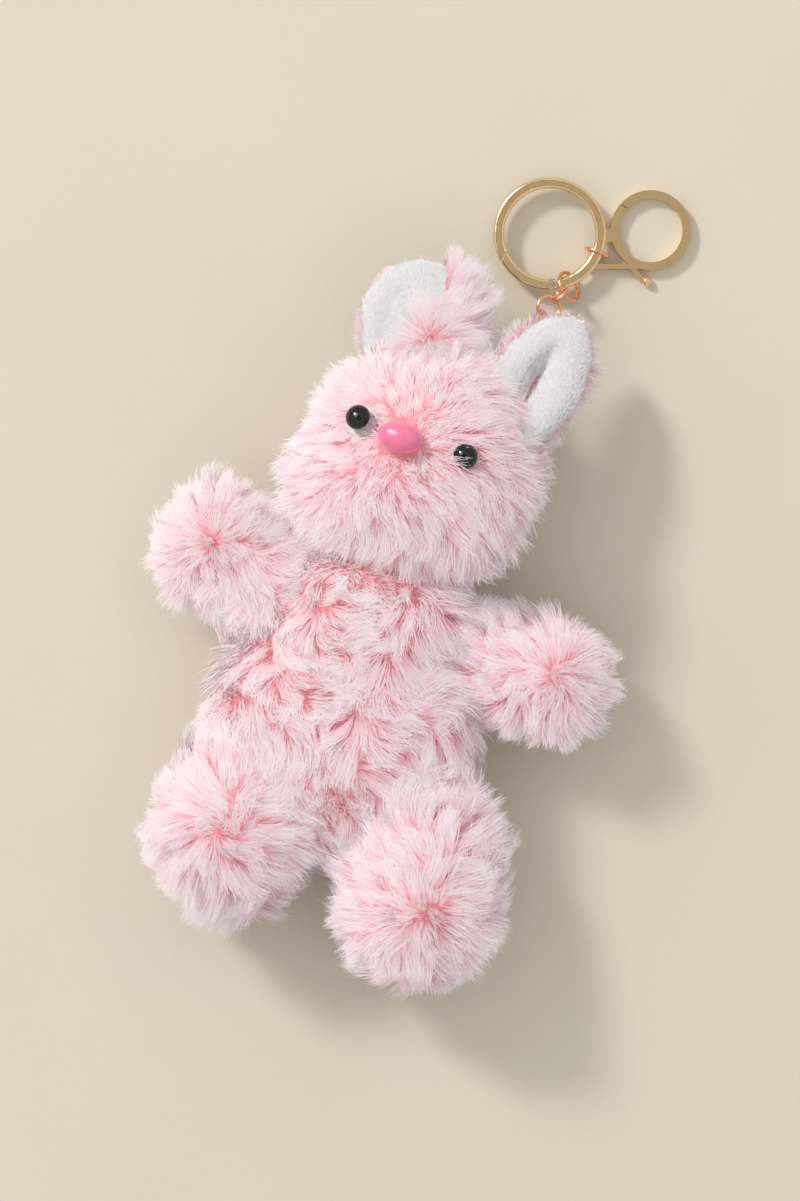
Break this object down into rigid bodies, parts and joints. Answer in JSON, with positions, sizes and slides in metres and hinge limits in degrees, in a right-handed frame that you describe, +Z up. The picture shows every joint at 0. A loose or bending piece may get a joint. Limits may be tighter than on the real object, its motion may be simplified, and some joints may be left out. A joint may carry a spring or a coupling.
{
  "type": "plush keychain",
  "caption": "Small long-pile plush bunny on a sprung gate ring, with a round trigger clasp; sewn limbs, domed eyes and nose, short link chain.",
  "frame": {"origin": "bottom centre of the whole part's box, with the bunny lying on its back", "axes": "+Z up from the table through the belly, +Y from the feet to the key ring, +X to the side of the bunny's left arm"},
  "size_m": [0.1398, 0.2376, 0.0577],
  "materials": {
    "pink_pile": "long brushed pile, pale tips and deeper pink roots",
    "white_plush": "short dense plush",
    "fibre_fill": "loose polyester fibre",
    "pink_tape": "woven tape",
    "black_bead": "polished",
    "pink_bead": "polished",
    "washer_plastic": "moulded",
    "pale_gold": "polished pale gold plating",
    "rose_gold": "polished copper gold plating",
    "steel": "bright wire"
  },
  "bodies": {
    "torso": {"torso_front_cover": "pink_pile", "torso_back_cover": "pink_pile", "torso_stuffing": "fibre_fill"},
    "head": {"head_front_cover": "pink_pile", "head_back_cover": "pink_pile", "head_stuffing": "fibre_fill", "eye_left": "black_bead", "eye_right": "black_bead", "nose": "pink_bead", "eye_washer_left": "washer_plastic", "eye_washer_right": "washer_plastic", "nose_washer": "washer_plastic", "hang_loop": "pink_tape"},
    "arm_left": {"arm_left_cover": "pink_pile", "arm_left_stuffing": "fibre_fill"},
    "leg_left": {"leg_left_cover": "pink_pile", "leg_left_stuffing": "fibre_fill"},
    "ear_left": {"ear_left_outer": "pink_pile", "ear_left_lining": "white_plush"},
    "arm_right": {"arm_right_cover": "pink_pile", "arm_right_stuffing": "fibre_fill"},
    "leg_right": {"leg_right_cover": "pink_pile", "leg_right_stuffing": "fibre_fill"},
    "ear_right": {"ear_right_outer": "pink_pile", "ear_right_lining": "white_plush"},
    "loop_ring": {"loop_ring": "rose_gold"},
    "chain_link": {"chain_link": "rose_gold"},
    "ring_link": {"ring_link": "rose_gold"},
    "key_ring": {"key_ring_body": "pale_gold", "key_ring_gate_pin": "steel", "key_ring_gate_spring": "steel"},
    "key_ring_gate": {"key_ring_gate": "pale_gold"},
    "clasp_link": {"clasp_link": "rose_gold"},
    "clasp": {"clasp_body": "pale_gold", "clasp_rivet": "steel", "clasp_spring": "steel"},
    "trigger": {"clasp_trigger": "pale_gold"}
  },
  "joints": [
    {"name": "neck_tilt", "type": "hinge", "parent": "torso", "child": "head", "pos_m": [-0.00575, -0.00783, 0.026], "axis": [0, 0, 1], "range_deg": [-10, 10], "stiffness_Nm_per_rad": 0.25},
    {"name": "shoulder_left", "type": "hinge", "parent": "torso", "child": "arm_left", "pos_m": [-0.03075, -0.02183, 0.017], "axis": [0, 0, 1], "range_deg": [-15, 15], "stiffness_Nm_per_rad": 0.06},
    {"name": "hip_left", "type": "hinge", "parent": "torso", "child": "leg_left", "pos_m": [-0.01475, -0.07032, 0.0224], "axis": [0, 0, 1], "range_deg": [-12, 5], "stiffness_Nm_per_rad": 0.12},
    {"name": "ear_left_flop", "type": "hinge", "parent": "head", "child": "ear_left", "pos_m": [-0.01625, 0.05418, 0.024], "axis": [0.9986, 0.0523, 0], "range_deg": [-5, 40], "stiffness_Nm_per_rad": 0.01},
    {"name": "shoulder_right", "type": "hinge", "parent": "torso", "child": "arm_right", "pos_m": [0.02825, -0.02183, 0.017], "axis": [0, 0, 1], "range_deg": [-15, 15], "stiffness_Nm_per_rad": 0.06},
    {"name": "hip_right", "type": "hinge", "parent": "torso", "child": "leg_right", "pos_m": [0.02525, -0.07032, 0.0224], "axis": [0, 0, 1], "range_deg": [-5, 12], "stiffness_Nm_per_rad": 0.12},
    {"name": "ear_right_flop", "type": "hinge", "parent": "head", "child": "ear_right", "pos_m": [0.01825, 0.04568, 0.024], "axis": [0.9903, -0.1392, 0], "range_deg": [-5, 40], "stiffness_Nm_per_rad": 0.01},
    {"name": "loop_ring_hinge", "type": "hinge", "parent": "head", "child": "loop_ring", "pos_m": [0.01497, 0.07406, 0.00982], "axis": [0.8549, -0.4474, -0.2627], "range_deg": [-25, 25]},
    {"name": "chain_link_hinge", "type": "hinge", "parent": "loop_ring", "child": "chain_link", "pos_m": [0.01696, 0.07898, 0.00865], "axis": [0.8671, -0.4155, -0.2748], "range_deg": [-25, 25]},
    {"name": "ring_link_hinge", "type": "hinge", "parent": "chain_link", "child": "ring_link", "pos_m": [0.01886, 0.08369, 0.00754], "axis": [0.3381, 0.0858, 0.9372], "range_deg": [-20, 20]},
    {"name": "key_ring_hinge", "type": "hinge", "parent": "ring_link", "child": "key_ring", "pos_m": [0.01871, 0.08588, 0.0045], "axis": [-0.7771, -0.6293, 0], "range_deg": [-20, 20]},
    {"name": "gate_hinge", "type": "hinge", "parent": "key_ring", "child": "key_ring_gate", "pos_m": [0.01528, 0.08382, 0.0045], "axis": [0, 0, 1], "range_deg": [0, 35], "stiffness_Nm_per_rad": 0.02, "springref_deg": -11.46},
    {"name": "clasp_flip", "type": "hinge", "parent": "key_ring", "child": "clasp_link", "pos_m": [0.02404, 0.09657, 0.0045], "axis": [-0.0349, -0.9994, 0], "range_deg": [0, 80]},
    {"name": "clasp_turn", "type": "hinge", "parent": "clasp_link", "child": "clasp", "pos_m": [0.02404, 0.09657, 0.00395], "axis": [0, 0, 1], "range_deg": [-8, 8]},
    {"name": "trigger_pull", "type": "hinge", "parent": "clasp", "child": "trigger", "pos_m": [0.02585, 0.10237, 0.0015], "axis": [0, 0, -1], "range_deg": [0, 25], "stiffness_Nm_per_rad": 0.02, "springref_deg": -11.46}
  ]
}
